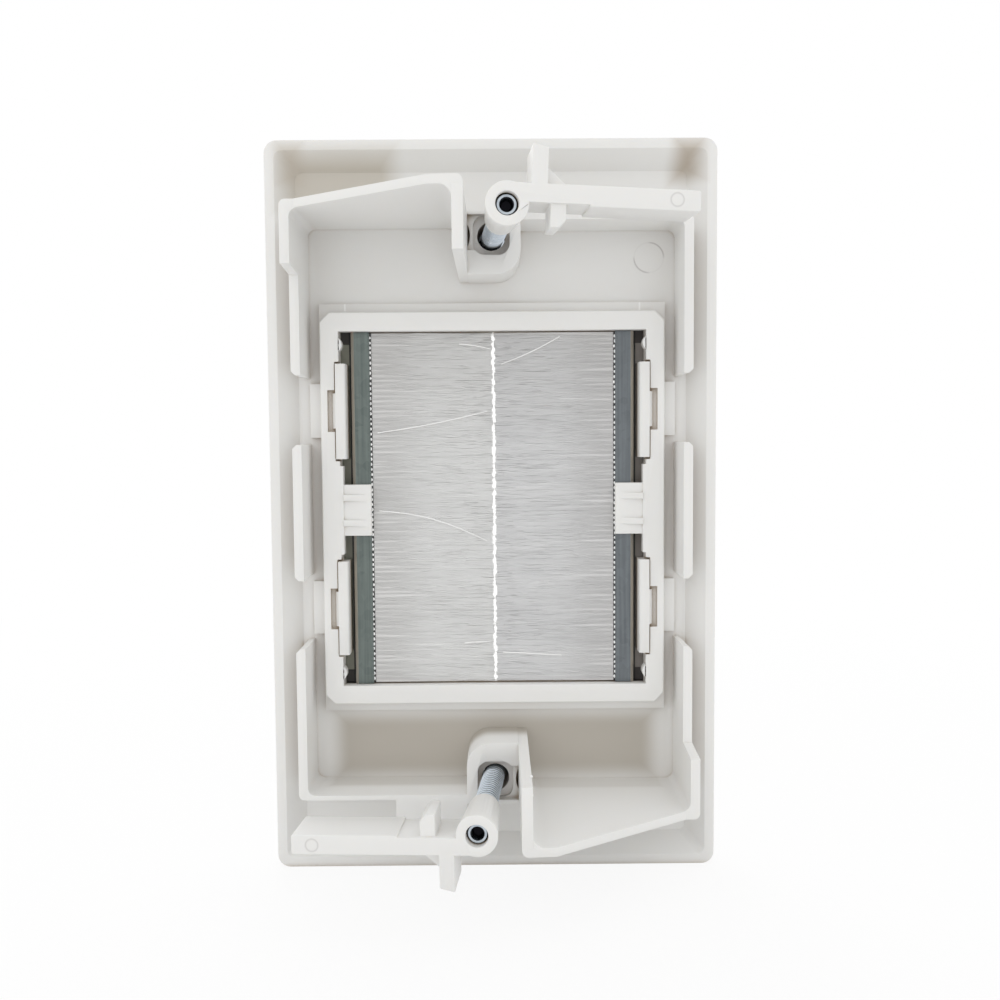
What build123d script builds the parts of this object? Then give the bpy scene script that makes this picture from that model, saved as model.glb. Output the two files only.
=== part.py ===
from build123d import *
import math
import os

# Cable pass-through wall plate for one gang: a dished plate with a split brush in its
# window, held to the wall panel by two swing clamps that ride on long screws.
# Millimetres, +Z up, +Y away from the room. The origin is the centre of the plate in the
# plane of its rim, which is the plane of the wall.
#
# Each piece is drawn as seen from behind the plate: u to the right, v up and w towards
# the viewer, so that w is the height above the wall plane. BACK_VIEW turns u, v, w into
# the part's own X, Y and Z.

# Plate
plate_width = 69.85
plate_height = 114.3
plate_depth = 5.8
plate_wall = 2.0
plate_corner_radius = 2.0
face_slope_width = 3.0
face_slope_depth = 2.2
face_edge_radius = 1.0
face_corner_radius = 2.0
rim_width = 1.5
dish_slope_width = 2.5
dish_corner_radius = 1.2

# Window, the pocket for the brush strips behind it and the curb round the insert
window_width = 37.2
window_corner_radius = 0.8
window_lip = 1.0
curb_width = 54.6
curb_rise = 1.2
pocket_side_gap = 0.65
pocket_side_relief = 1.1
pocket_end_gap = 0.3

# Collar that enters the hole in the wall
collar_width = 60.8
collar_wall = 1.4
collar_rise = 8.8
leg_end = 20.9
leg_end_chamfer = 0.6
middle_wall_length = 20.8
end_wall_outer = 45.6
end_wall = 1.25
low_wall_outer = 44.55
low_wall = 0.7
low_wall_start = 15.4
ledge_outer = 47.8
collar_outer_radius = 0.9
collar_inner_radius = 1.3
pad_start = 11.5
pad_end = 20.0
pad_rise = 0.9
pad_width = 1.8

# Horn: the tall corner of the collar with the wall that guides the clamp
horn_low_rise = 15.2
horn_step_start = 35.9
horn_step_run = 0.6
horn_flat = 2.1
horn_slope_end = 8.4
horn_rise = 28.4
horn_top_rise = 28.0
guide_wall = 1.5
guide_outer_radius = 1.0
guide_inner_radius = 1.8
guide_start = 35.9

# Screw posts
screw_spread = 83.5
post_rise = 8.8
post_left = 3.6
post_right = 4.4
post_inner = 35.8
post_outer = 45.3
post_corner_radius = 3.7
screw_hole_diameter = 4.3
countersink_diameter = 8.0
countersink_angle = 82.0
recess_width = 5.5
recess_start = 38.65
recess_end = 44.7
recess_depth = 2.0
recess_corner_radius = 1.7
shelf_start = 39.35
shelf_depth = 1.1
relief_radius = 3.6
relief_reach = 0.4
relief_depth = 2.6

# Latch fingers on the curb and the barbs that hold the insert
finger_wall = 1.6
finger_start = 8.1
finger_length = 14.9
finger_tip = 0.3
finger_edge_radius = 0.45
barb_start = 12.9
barb_length = 5.5
barb_reach = 0.55
barb_drop = 0.9

# Insert frame snapped over the fingers
frame_width = 54.0
frame_thickness = 2.0
frame_corner_chamfer = 1.5
frame_bar = 2.9
frame_end_bar = 2.95
frame_end_gap = 0.05
curb_end_margin = 1.5
frame_edge_radius = 0.3
finger_clearance = 0.15
finger_end_clearance = 0.3
neck_reach = 0.5
neck_length = 14.0
notch_width = 1.3
notch_start = 12.4
notch_length = 6.5
tab_width = 8.1
tab_reach = 4.8
tab_thickness = 1.0
rib_spacing = 4.0
rib_width = 1.0
rib_rise = 0.8
rib_inset = 0.7

# Brush strips: a folded channel, a core wire and the filaments doubled over it
strip_length = 56.0
strip_span = 44.7
strip_bearing = 0.8
channel_width = 2.95
channel_depth = 2.8
channel_sheet = 0.45
channel_bevel = 0.5
core_diameter = 0.9
core_clearance = 0.03
core_inset = 1.15
brush_tip_thickness = 1.3
brush_seam = 0.2
brush_seam_gap = 0.1
brush_end_gap = 0.15

# Screws, #6-32 oval head
screw_length = 31.75
shank_diameter = 3.0
shank_end_chamfer = 0.35
shank_cup_diameter = 1.9
shank_cup_depth = 0.4
head_diameter = 6.7
head_angle = 82.0
head_land = 0.15
head_dome = 1.25
head_proud = 0.4
slot_width = 1.1
slot_depth = 1.3

# The screws lean in their holes, each by its own slope in u and v
screw_pivot = -0.4
top_lean_u = 0.0807
top_lean_v = -0.0167
bottom_lean_u = -0.0929
bottom_lean_v = -0.002
top_swing = -1.9
bottom_swing = 1.2

# Swing clamps, drawn along the arm (a), away from the plate's middle (b) and up the screw
clamp_height = 26.5
boss_radius = 2.87
boss_foot_radius = 2.25
boss_length = 10.0
thread_clearance = 0.05
arm_length = 25.4
arm_outer = 2.7
arm_inner = 0.3
arm_depth = 6.8
arm_thick_start = 10.8
arm_thick_extra = 0.3
arm_tip_radius = 0.35
stub_start = 3.15
stub_width = 2.05
stub_reach = 5.05
stub_slant = 0.5
gusset_height = 2.65
gusset_length = 3.0
gusset_depth = 4.9
catch_start = 5.7
catch_width = 2.05
catch_reach = 3.0
catch_depth = 5.5
catch_chamfer = 0.9
catch_inset = 0.5

BACK_VIEW = Plane(origin=(0, 0, 0), x_dir=(-1, 0, 0), z_dir=(0, 1, 0))

floor_w = plate_wall - plate_depth
collar_w = floor_w + collar_rise
curb_w = floor_w + curb_rise
lip_w = window_lip - plate_depth
frame_w = curb_w + frame_thickness
channel_w = lip_w + channel_depth
strip_w = lip_w + channel_depth / 2
pocket_half = strip_span / 2 + pocket_side_gap
window_height = strip_length - 2 * strip_bearing
frame_mouth = strip_length + 2 * frame_end_gap
frame_height = frame_mouth + 2 * frame_end_bar
curb_height = frame_height + 2 * curb_end_margin
finger_w = frame_w + finger_tip
barb_w = frame_w - barb_drop
screw_v = screw_spread / 2
collar_outer_u = collar_width / 2
collar_inner_u = collar_outer_u - collar_wall


def block(u0, u1, v0, v1, w0, w1):
    """A box between two corners, in the back view."""
    size = (abs(u1 - u0), abs(v1 - v0), abs(w1 - w0))
    middle = Pos((u0 + u1) / 2, (v0 + v1) / 2, (w0 + w1) / 2)
    return middle * Box(*size)


def plan(points, w0, w1):
    """A closed outline in u and v, raised from w0 to w1."""
    outline = make_face(Polyline(*points, close=True))
    return extrude(Pos(0, 0, w0) * outline, w1 - w0)


def across(points, u0, u1):
    """A closed outline in v and w, run along u."""
    plane = Plane(origin=(u0, 0, 0), x_dir=(0, 1, 0), z_dir=(1, 0, 0))
    return extrude(plane * make_face(Polyline(*points, close=True)), u1 - u0)


def along(points, v0, v1):
    """A closed outline in u and w, run along v."""
    plane = Plane(origin=(0, v1, 0), x_dir=(1, 0, 0), z_dir=(0, -1, 0))
    return extrude(plane * make_face(Polyline(*points, close=True)), v1 - v0)


def both_sides(piece):
    """The piece and its mirror image across the plate's upright middle plane."""
    return piece + mirror(piece, Plane.YZ)


def turned(piece):
    """The piece turned half a turn about the plate's normal."""
    return Rot(0, 0, 180) * piece


def plate_shell():
    """The dished plate: sloped face edges, flat rim, sloping inner sides."""
    outline = RectangleRounded(plate_width, plate_height, plate_corner_radius)
    edge_w = face_slope_depth - plate_depth
    face = RectangleRounded(
        plate_width - 2 * face_slope_width, plate_height - 2 * face_slope_width, face_corner_radius
    )
    slope = loft([Pos(0, 0, edge_w) * outline, Pos(0, 0, -plate_depth) * face])
    shell = extrude(outline, edge_w) + slope
    shell = fillet(shell.faces().sort_by(Axis.Z)[0].edges(), face_edge_radius)
    mouth_width = plate_width - 2 * rim_width
    mouth_height = plate_height - 2 * rim_width
    mouth = RectangleRounded(mouth_width, mouth_height, dish_corner_radius)
    floor = RectangleRounded(
        mouth_width - 2 * dish_slope_width, mouth_height - 2 * dish_slope_width, dish_corner_radius
    )
    return shell - loft([mouth, Pos(0, 0, floor_w) * floor])


def horn_plan():
    """Plan of the tall corner: leg, end wall and guide wall as one rounded outline."""
    leg = Pos(-(collar_outer_u + collar_inner_u) / 2, (leg_end + end_wall_outer) / 2) * Rectangle(
        collar_wall, end_wall_outer - leg_end
    )
    wall = Pos(-(collar_outer_u + post_left) / 2, end_wall_outer - end_wall / 2) * Rectangle(
        collar_outer_u - post_left, end_wall
    )
    guide = Pos(-post_left - guide_wall / 2, (guide_start + end_wall_outer) / 2) * Rectangle(
        guide_wall, end_wall_outer - guide_start
    )
    outline = leg + wall + guide
    corner = outline.vertices().sort_by(Axis.X)[0:2].sort_by(Axis.Y)[-1]
    outline = fillet(corner, collar_outer_radius)
    inner = (-collar_inner_u, end_wall_outer - end_wall, 0)
    outline = fillet(outline.vertices().sort_by_distance(inner)[0], collar_inner_radius)
    inner = (-post_left - guide_wall, end_wall_outer - end_wall, 0)
    outline = fillet(outline.vertices().sort_by_distance(inner)[0], guide_inner_radius)
    outer = (-post_left, end_wall_outer, 0)
    outline = fillet(outline.vertices().sort_by_distance(outer)[0], guide_outer_radius)
    return outline


def horn():
    """The tall corner, cut to its stepped and sloping rear edge."""
    low_w = floor_w + horn_low_rise
    top_w = floor_w + horn_top_rise
    peak_w = floor_w + horn_rise
    step_end = horn_step_start + horn_step_run
    leg_edge = across(
        [
            (leg_end, floor_w),
            (leg_end, collar_w),
            (horn_step_start, collar_w),
            (step_end, low_w),
            (end_wall_outer, low_w),
            (end_wall_outer, floor_w),
        ],
        -collar_outer_u,
        -collar_inner_u + collar_inner_radius,
    )
    wall_edge = along(
        [
            (-collar_outer_u, floor_w),
            (-collar_outer_u, low_w),
            (horn_flat - collar_outer_u, low_w),
            (-horn_slope_end, top_w),
            (-post_left, peak_w),
            (-post_left, floor_w),
        ],
        end_wall_outer - end_wall - guide_inner_radius,
        end_wall_outer,
    )
    guide_edge = block(
        -post_left - guide_wall, -post_left, guide_start, end_wall_outer - end_wall, floor_w, peak_w
    )
    solid = extrude(Pos(0, 0, floor_w) * horn_plan(), peak_w - floor_w)
    return solid & (leg_edge + wall_edge + guide_edge)


def low_corner():
    """The low corner: leg, thin end wall and the thick ledge beside the post."""
    wall_middle = low_wall_outer - low_wall / 2
    leg = Pos((collar_outer_u + collar_inner_u) / 2, (leg_end + low_wall_outer) / 2) * Rectangle(
        collar_wall, low_wall_outer - leg_end
    )
    wall = Pos((collar_outer_u + low_wall_start) / 2, wall_middle) * Rectangle(
        collar_outer_u - low_wall_start, low_wall
    )
    outline = leg + wall
    inner = (collar_inner_u, low_wall_outer - low_wall, 0)
    outline = fillet(outline.vertices().sort_by_distance(inner)[0], collar_inner_radius)
    outer = (collar_outer_u, low_wall_outer, 0)
    outline = fillet(outline.vertices().sort_by_distance(outer)[0], collar_outer_radius)
    corner = extrude(Pos(0, 0, floor_w) * outline, collar_rise)
    ledge = block(
        post_right, low_wall_start, low_wall_outer - low_wall, ledge_outer, floor_w, collar_w
    )
    return corner + ledge


def post():
    """The screw post, solid except for its recess and hole, which are cut later."""
    body = block(-post_left, post_right, post_inner, post_outer, floor_w, floor_w + post_rise)
    corner = body.edges().filter_by(Axis.Z).sort_by_distance((post_right, post_inner, 0))[0]
    return fillet(corner, post_corner_radius)


def post_cuts():
    """Recess, straight hole and countersink of one post."""
    rear = floor_w + post_rise
    recess_height = recess_end - recess_start
    outline = Pos(0, (recess_start + recess_end) / 2) * RectangleRounded(
        recess_width, recess_height, recess_corner_radius
    )
    recess = extrude(Pos(0, 0, rear - recess_depth) * outline, recess_depth)
    shelf = block(-post_left, 0, shelf_start, recess_end, rear - shelf_depth, rear)
    relief = extrude(
        Pos(relief_reach - post_left - relief_radius, screw_v, rear - shelf_depth - relief_depth)
        * Circle(relief_radius),
        relief_depth,
    )
    relief &= block(-post_left, 0, shelf_start, recess_end, floor_w, rear)
    hole = extrude(Pos(0, screw_v, -plate_depth) * Circle(screw_hole_diameter / 2), rear + plate_depth)
    slope = math.tan(math.radians(countersink_angle / 2))
    sink_depth = (countersink_diameter - screw_hole_diameter) / 2 / slope
    sink = Pos(0, screw_v, sink_depth / 2 - plate_depth) * Cone(
        countersink_diameter / 2, screw_hole_diameter / 2, sink_depth
    )
    return recess + shelf + relief + hole + sink


def finger():
    """One latch finger, upper right, with its outward barb."""
    outer = pocket_half + finger_wall
    upright = block(
        pocket_half, outer, finger_start, finger_start + finger_length, lip_w, finger_w
    )
    upright = fillet(upright.faces().sort_by(Axis.Z)[-1].edges().sort_by(Axis.X)[0], finger_edge_radius)
    barb = along(
        [
            (outer - finger_wall / 2, barb_w),
            (outer + barb_reach, barb_w),
            (outer + barb_reach, frame_w - barb_drop / 2),
            (outer, finger_w),
            (outer - finger_wall / 2, finger_w),
        ],
        barb_start,
        barb_start + barb_length,
    )
    return upright + barb


def wall_plate():
    """The moulded plate with its collar, posts, curb and latch fingers."""
    plate = plate_shell()
    plate += block(
        -curb_width / 2, curb_width / 2, -curb_height / 2, curb_height / 2, floor_w, curb_w
    )
    half = horn() + low_corner() + post()
    pad = block(collar_inner_u - pad_width, collar_inner_u, pad_start, pad_end, floor_w, floor_w + pad_rise)
    half += both_sides(pad)
    plate += half + turned(half)
    middle = block(
        collar_inner_u,
        collar_outer_u,
        -middle_wall_length / 2,
        middle_wall_length / 2,
        floor_w,
        collar_w,
    )
    middle = chamfer(middle.edges().filter_by(Axis.Z).group_by(Axis.X)[-1], leg_end_chamfer)
    plate += both_sides(middle)
    ends = plate.edges().filter_by(Axis.Z).filter_by(
        lambda edge: abs(abs(edge.center().X) - collar_outer_u) < 0.01
        and abs(abs(edge.center().Y) - leg_end) < 0.01
    )
    plate = chamfer(ends, leg_end_chamfer)
    pocket_height = strip_length + 2 * pocket_end_gap
    pocket_reach = pocket_half + pocket_side_relief
    plate -= block(-pocket_reach, pocket_reach, -pocket_height / 2, pocket_height / 2, lip_w, curb_w)
    window = RectangleRounded(window_width, window_height, window_corner_radius)
    plate -= extrude(Pos(0, 0, -plate_depth) * window, window_lip)
    cuts = post_cuts()
    plate -= cuts + turned(cuts)
    fingers = both_sides(finger())
    return plate + fingers + turned(fingers)


def insert_frame():
    """The insert that traps the brush strips, notched for the latch barbs."""
    inner_width = frame_width - 2 * frame_bar
    outline = Rectangle(frame_width, frame_height)
    outline = chamfer(outline.vertices(), frame_corner_chamfer)
    outline -= Rectangle(inner_width, frame_mouth)
    outline += Rectangle(inner_width, neck_length) - Rectangle(inner_width - 2 * neck_reach, neck_length)
    bed_outer = pocket_half + finger_wall + finger_clearance
    bed_length = finger_length + 2 * finger_end_clearance
    bed = Pos(0, finger_start + finger_length / 2) * Rectangle(2 * bed_outer, bed_length)
    outline -= bed + Rot(0, 0, 180) * bed
    frame = extrude(Pos(0, 0, curb_w) * outline, frame_thickness)
    rear = frame.faces().sort_by(Axis.Z)[-1].outer_wire().edges()
    frame = fillet(rear, frame_edge_radius)
    notch = block(
        pocket_half + finger_wall,
        pocket_half + finger_wall + notch_width,
        notch_start,
        notch_start + notch_length,
        barb_w,
        frame_w,
    )
    notches = both_sides(notch)
    frame -= notches + turned(notches)
    tab_root = inner_width / 2 - neck_reach
    tab_tip = inner_width / 2 - tab_reach
    tab_w = channel_w + tab_thickness
    tab = block(tab_tip, tab_root, -tab_width / 2, tab_width / 2, channel_w, tab_w)
    rib = along(
        [
            (tab_tip + rib_inset, tab_w),
            (tab_root, tab_w + rib_rise),
            (tab_root, channel_w),
            (tab_tip + rib_inset, channel_w),
        ],
        rib_spacing / 2 - rib_width / 2,
        rib_spacing / 2 + rib_width / 2,
    )
    tab += rib + mirror(rib, Plane.XZ)
    return frame + both_sides(tab)


def channel():
    """The right-hand folded channel: its web outward, its mouth towards the seam."""
    outer = strip_span / 2
    mouth = outer - channel_width
    section = [
        (mouth, lip_w),
        (outer - channel_bevel, lip_w),
        (outer, lip_w + channel_bevel),
        (outer, channel_w - channel_bevel),
        (outer - channel_bevel, channel_w),
        (mouth, channel_w),
    ]
    hollow = block(
        mouth,
        outer - channel_sheet,
        -strip_length / 2,
        strip_length / 2,
        lip_w + channel_sheet,
        channel_w - channel_sheet,
    )
    return along(section, -strip_length / 2, strip_length / 2) - hollow


def bristles(tip):
    """The right-hand filaments as one soft pad, doubled over the core wire."""
    root = strip_span / 2 - channel_sheet
    mouth = strip_span / 2 - channel_width
    root_half = channel_depth / 2 - channel_sheet
    tip_half = brush_tip_thickness / 2
    section = [
        (root, strip_w - root_half),
        (root, strip_w + root_half),
        (mouth, strip_w + root_half),
        (tip, strip_w + tip_half),
        (tip, strip_w - tip_half),
        (mouth, strip_w - root_half),
    ]
    half_length = strip_length / 2 - brush_end_gap
    pad = along(section, -half_length, half_length)
    return pad - core_rod(core_diameter / 2 + core_clearance)


def core_rod(radius):
    """A rod of the given radius along the right-hand channel."""
    rod_u = strip_span / 2 - core_inset
    return Pos(rod_u, 0, strip_w) * Rot(90, 0, 0) * Cylinder(radius, strip_length)


def screw_plane(end):
    """The plane square to a screw at its pivot, with its x along the clamp's arm."""
    side = 1 if end == "top" else -1
    lean = (top_lean_u, top_lean_v, 1) if end == "top" else (bottom_lean_u, bottom_lean_v, 1)
    swing = math.radians(top_swing if end == "top" else bottom_swing)
    arm = (side * math.cos(swing), side * math.sin(swing), 0)
    return Plane(origin=(0, side * screw_v, screw_pivot), x_dir=arm, z_dir=lean)


def screw():
    """An oval-head screw drawn up the z axis, its head's rim below the plate's face."""
    slope = math.tan(math.radians(head_angle / 2))
    head_radius = head_diameter / 2
    shank_radius = shank_diameter / 2
    cone_depth = (head_radius - shank_radius) / slope
    dome_radius = (head_radius**2 + head_dome**2) / (2 * head_dome)
    turn = math.asin(head_radius / dome_radius) / 2
    dome_middle = (
        dome_radius * math.sin(turn),
        dome_radius - head_dome - dome_radius * math.cos(turn),
    )
    dome = ThreePointArc((0, -head_dome), dome_middle, (head_radius, 0))
    side = Polyline(
        (head_radius, 0),
        (head_radius, head_land),
        (shank_radius, head_land + cone_depth),
        (shank_radius, screw_length - shank_end_chamfer),
        (shank_radius - shank_end_chamfer, screw_length),
        (shank_cup_diameter / 2, screw_length),
        (0, screw_length - shank_cup_depth),
        (0, -head_dome),
    )
    half = Plane.XZ * make_face(dome + side)
    body = revolve(half, Axis.Z)
    body -= block(
        -head_radius, head_radius, -slot_width / 2, slot_width / 2, -head_dome, slot_depth - head_dome
    )
    return Pos(0, 0, -plate_depth - head_proud - screw_pivot) * body


def clamp():
    """A swing clamp drawn up the z axis: threaded boss, arm, stub, gusset and catch."""
    boss = Pos(0, 0, -boss_length / 2) * Cone(boss_foot_radius, boss_radius, boss_length)
    thick = arm_inner - arm_thick_extra
    arm = plan(
        [
            (0, arm_outer),
            (arm_length, arm_outer),
            (arm_length, thick),
            (arm_thick_start, thick),
            (arm_thick_start, arm_inner),
            (0, arm_inner),
        ],
        -arm_depth,
        0,
    )
    arm = fillet(arm.edges().filter_by(Axis.Z).group_by(Axis.X)[-1], arm_tip_radius)
    stub_tip = arm_outer + stub_reach
    stub = plan(
        [
            (stub_start, arm_inner),
            (stub_start, stub_tip),
            (stub_start + stub_width, stub_tip - stub_slant),
            (stub_start + stub_width, arm_inner),
        ],
        -arm_depth,
        0,
    )
    gusset_start = stub_start + stub_width / 2
    gusset = plan(
        [
            (gusset_start, arm_inner),
            (gusset_start, arm_outer + gusset_height),
            (stub_start + stub_width, arm_outer + gusset_height),
            (stub_start + stub_width + gusset_length, arm_outer),
            (stub_start + stub_width + gusset_length, arm_inner),
        ],
        -arm_depth,
        gusset_depth - arm_depth,
    )
    catch_tip = arm_inner - catch_reach
    catch = plan(
        [
            (catch_start, arm_outer),
            (catch_start, catch_tip),
            (catch_start + catch_width - catch_chamfer, catch_tip),
            (catch_start + catch_width, catch_tip + catch_chamfer),
            (catch_start + catch_width, arm_outer),
        ],
        -catch_inset - catch_depth,
        -catch_inset,
    )
    body = boss + arm + stub + gusset + catch
    body -= Pos(0, 0, -boss_length / 2) * Cylinder(shank_diameter / 2 + thread_clearance, boss_length)
    return Pos(0, 0, clamp_height - screw_pivot) * body


def left(piece):
    """The left-hand copy of a right-hand piece, as seen from behind."""
    return mirror(piece, Plane.YZ)


def pieces():
    """Every piece by its node name, in the back view."""
    found = {"wall_plate": wall_plate(), "insert_frame": insert_frame()}
    found["channel_right"] = channel()
    found["channel_left"] = left(channel())
    found["bristles_right"] = bristles(brush_seam + brush_seam_gap / 2)
    found["bristles_left"] = left(bristles(brush_seam_gap / 2 - brush_seam))
    found["core_wire_right"] = core_rod(core_diameter / 2)
    found["core_wire_left"] = left(core_rod(core_diameter / 2))
    for end in ("top", "bottom"):
        plane = screw_plane(end)
        found["screw_" + end] = plane * screw()
        found["clamp_" + end] = plane * clamp()
    return found


os.makedirs("parts", exist_ok=True)
for node, piece in pieces().items():
    placed = BACK_VIEW * piece
    placed.label = node
    export_step(placed, os.path.join("parts", node + ".step"))
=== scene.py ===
"""Looks of the one-gang cable pass-through wall plate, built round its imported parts.

Everything is in metres in the part's own frame: +Z up, +Y into the wall. Sizes are given in
millimetres as seen from behind the plate: u to the right, v up and w towards the viewer.
"""

import logging
import math
import random
from collections.abc import Callable
from dataclasses import dataclass, field
from enum import Enum

import bmesh
import bpy
from mathutils import Matrix, Vector


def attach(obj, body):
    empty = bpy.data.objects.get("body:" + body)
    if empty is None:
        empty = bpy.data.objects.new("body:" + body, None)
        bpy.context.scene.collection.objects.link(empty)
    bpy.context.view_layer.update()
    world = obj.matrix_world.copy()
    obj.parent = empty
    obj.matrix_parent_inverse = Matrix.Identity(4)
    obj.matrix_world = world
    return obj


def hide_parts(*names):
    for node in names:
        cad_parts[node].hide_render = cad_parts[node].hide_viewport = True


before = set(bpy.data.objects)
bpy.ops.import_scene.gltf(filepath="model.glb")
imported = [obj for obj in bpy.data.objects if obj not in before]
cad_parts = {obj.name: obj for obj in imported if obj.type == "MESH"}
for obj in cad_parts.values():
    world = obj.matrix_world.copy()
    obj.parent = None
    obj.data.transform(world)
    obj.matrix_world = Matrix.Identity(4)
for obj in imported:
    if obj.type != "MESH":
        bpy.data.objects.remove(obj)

Triple = tuple[float, float, float]
Colour = tuple[float, float, float, float]
Socket = bpy.types.NodeSocket
Sockets = bpy.types.bpy_prop_collection
Piece = bpy.types.Object

LOG = logging.getLogger("wall_plate")
MM = 0.001
ORIGIN: Triple = (0.0, 0.0, 0.0)
BLACK: Colour = (0.0, 0.0, 0.0, 1.0)
WHITE: Colour = (1.0, 1.0, 1.0, 1.0)
SMOOTH_BELOW = {"moulding": 60.0, "screw": 40.0, "tuft": 180.0, "floor": 35.0}


class Side(Enum):
    """The two brushes, as seen from behind."""

    LEFT = -1
    RIGHT = 1


class End(Enum):
    """The two clamps and their screws."""

    TOP = 1
    BOTTOM = -1


def behind(u: float, v: float, w: float) -> Vector:
    """Turns a place seen from behind, in millimetres, into the part's frame in metres."""
    return Vector((-u * MM, w * MM, v * MM))


class NodeGraph:
    """A node tree with short calls to add, set and join nodes."""

    def __init__(self, tree: bpy.types.NodeTree) -> None:
        """Keeps the tree and empties it."""
        self.tree = tree
        tree.nodes.clear()

    def add(self, kind: str, inputs: dict | None = None, **settings: object) -> bpy.types.Node:
        """Adds a node.

        Args:
            kind: The node's type, without its ShaderNode prefix.
            inputs: Socket names or indices to a value, or to a socket to join.
            **settings: Properties of the node.

        Returns:
            The new node.
        """
        prefix = "" if kind.startswith("Node") else "ShaderNode"
        node = self.tree.nodes.new(prefix + kind)
        for name, value in settings.items():
            setattr(node, name, value)
        for name, value in (inputs or {}).items():
            self.feed(node.inputs[name], value)
        return node

    def feed(self, target: Socket, value: object) -> None:
        """Sets a socket, or joins another socket to it."""
        if isinstance(value, Socket):
            self.tree.links.new(value, target)
        else:
            target.default_value = value

    def maths(self, operation: str, *values: object, clamp: bool = False) -> Socket:
        """Adds a Math node over numbers or sockets, and gives its result."""
        node = self.add("Math", dict(enumerate(values)), operation=operation, use_clamp=clamp)
        return node.outputs[0]

    def vector(self, operation: str, *values: object) -> Socket:
        """Adds a Vector Math node.

        Args:
            operation: The operation's name.
            *values: Vectors or sockets, or for SCALE a vector and a number.

        Returns:
            The result's socket.
        """
        names = (0, "Scale") if operation == "SCALE" else (0, 1)
        node = self.add("VectorMath", dict(zip(names, values)), operation=operation)
        number = operation in ("LENGTH", "DISTANCE", "DOT_PRODUCT")
        return node.outputs["Value" if number else "Vector"]

    def between(self, *values: object) -> Socket:
        """Maps a value smoothly from a low and a high to 0 and 1, or to another given pair."""
        inputs = dict(zip(("Value", "From Min", "From Max", "To Min", "To Max"), values))
        return self.add("MapRange", inputs, interpolation_type="SMOOTHSTEP").outputs["Result"]

    def blend(self, factor: object, first: object, second: object) -> Socket:
        """Mixes two colours.

        Args:
            factor: How much of the second.
            first: A colour or socket.
            second: A colour or socket.

        Returns:
            The mixed colour's socket.
        """
        node = self.add("Mix", {"Factor": factor}, data_type="RGBA")
        colours = [socket for socket in node.inputs if socket.type == "RGBA"]
        self.feed(colours[0], first)
        self.feed(colours[1], second)
        return next(socket for socket in node.outputs if socket.type == "RGBA")

    def bump(self, height: Socket, strength: float, distance: float) -> Socket:
        """Turns a height into a normal, with the distance in metres."""
        inputs = {"Height": height, "Strength": strength, "Distance": distance}
        return self.add("Bump", inputs).outputs["Normal"]

    def surface(self, inputs: dict[str, object]) -> None:
        """Adds the Principled shader and joins it to the output."""
        shader = self.add("BsdfPrincipled", inputs)
        self.add("OutputMaterial", {"Surface": shader.outputs["BSDF"]})


@dataclass(frozen=True)
class Effect:
    """A shader node group that several finishes share, built when it is first placed.

    Attributes:
        name: The group's name.
        inputs: Its inputs, each with its first number or vector.
        draw: Draws the group from its graph and input sockets, and returns its results.
    """

    name: str
    inputs: dict[str, float | Triple]
    draw: Callable[..., dict[str, Socket]]

    def tree(self) -> bpy.types.NodeTree:
        """Finds the group, or makes it with its sockets.

        Returns:
            The group.
        """
        tree = bpy.data.node_groups.get(self.name)
        if tree is None:
            tree = bpy.data.node_groups.new(self.name, "ShaderNodeTree")
            graph = NodeGraph(tree)
            for label, value in self.inputs.items():
                kind = "NodeSocketFloat" if isinstance(value, float) else "NodeSocketVector"
                socket = tree.interface.new_socket(label, in_out="INPUT", socket_type=kind)
                socket.default_value = value
            results = self.draw(graph, graph.add("NodeGroupInput").outputs)
            for label in results:
                tree.interface.new_socket(label, in_out="OUTPUT", socket_type="NodeSocketFloat")
            graph.add("NodeGroupOutput", results)
        return tree

    def place(self, graph: NodeGraph, inputs: dict[str, object]) -> Sockets:
        """Puts the group into a material with the material's own values, and gives its outputs."""
        return graph.add("Group", inputs, node_tree=self.tree()).outputs


def draw_grain(graph: NodeGraph, given: Sockets) -> dict[str, Socket]:
    """The fine skin and slow unevenness of a moulded surface.

    Args:
        graph: The group's graph.
        given: Its input sockets.

    Returns:
        The skin's height, and its slow mottle.
    """
    skin = {"Vector": given["Vector"], "Scale": given["Grain"], "Detail": 2.0}
    fine = graph.add("TexNoise", skin).outputs["Fac"]
    flow = {"Vector": given["Vector"], "Scale": given["Flow"], "Detail": 3.0, "Roughness": 0.45}
    slow = graph.add("TexNoise", flow).outputs["Fac"]
    height = graph.maths("MULTIPLY_ADD", slow, 3.0, fine)
    return {"Height": height, "Mottle": graph.between(slow, 0.3, 0.7)}


def draw_shade(graph: NodeGraph, given: Sockets) -> dict[str, Socket]:
    """How deep a point lies in a corner, as a mask for painted warm shade in corners."""
    shade = graph.add("AmbientOcclusion", {"Distance": given["Reach"]}, samples=8)
    return {"Mask": graph.maths("SUBTRACT", 1.0, shade.outputs["AO"], clamp=True)}


def draw_edge(graph: NodeGraph, given: Sockets) -> dict[str, Socket]:
    """Where an outside edge is close, as a mask for a painted edge highlight.

    Args:
        graph: The group's graph.
        given: Its input sockets.

    Returns:
        The closeness as a mask.
    """
    depth = graph.add("AmbientOcclusion", {"Distance": given["Reach"]}, samples=8, inside=True)
    thin = graph.maths("SUBTRACT", 1.0, depth.outputs["AO"], clamp=True)
    return {"Mask": graph.between(thin, 0.35, 0.85)}


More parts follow.
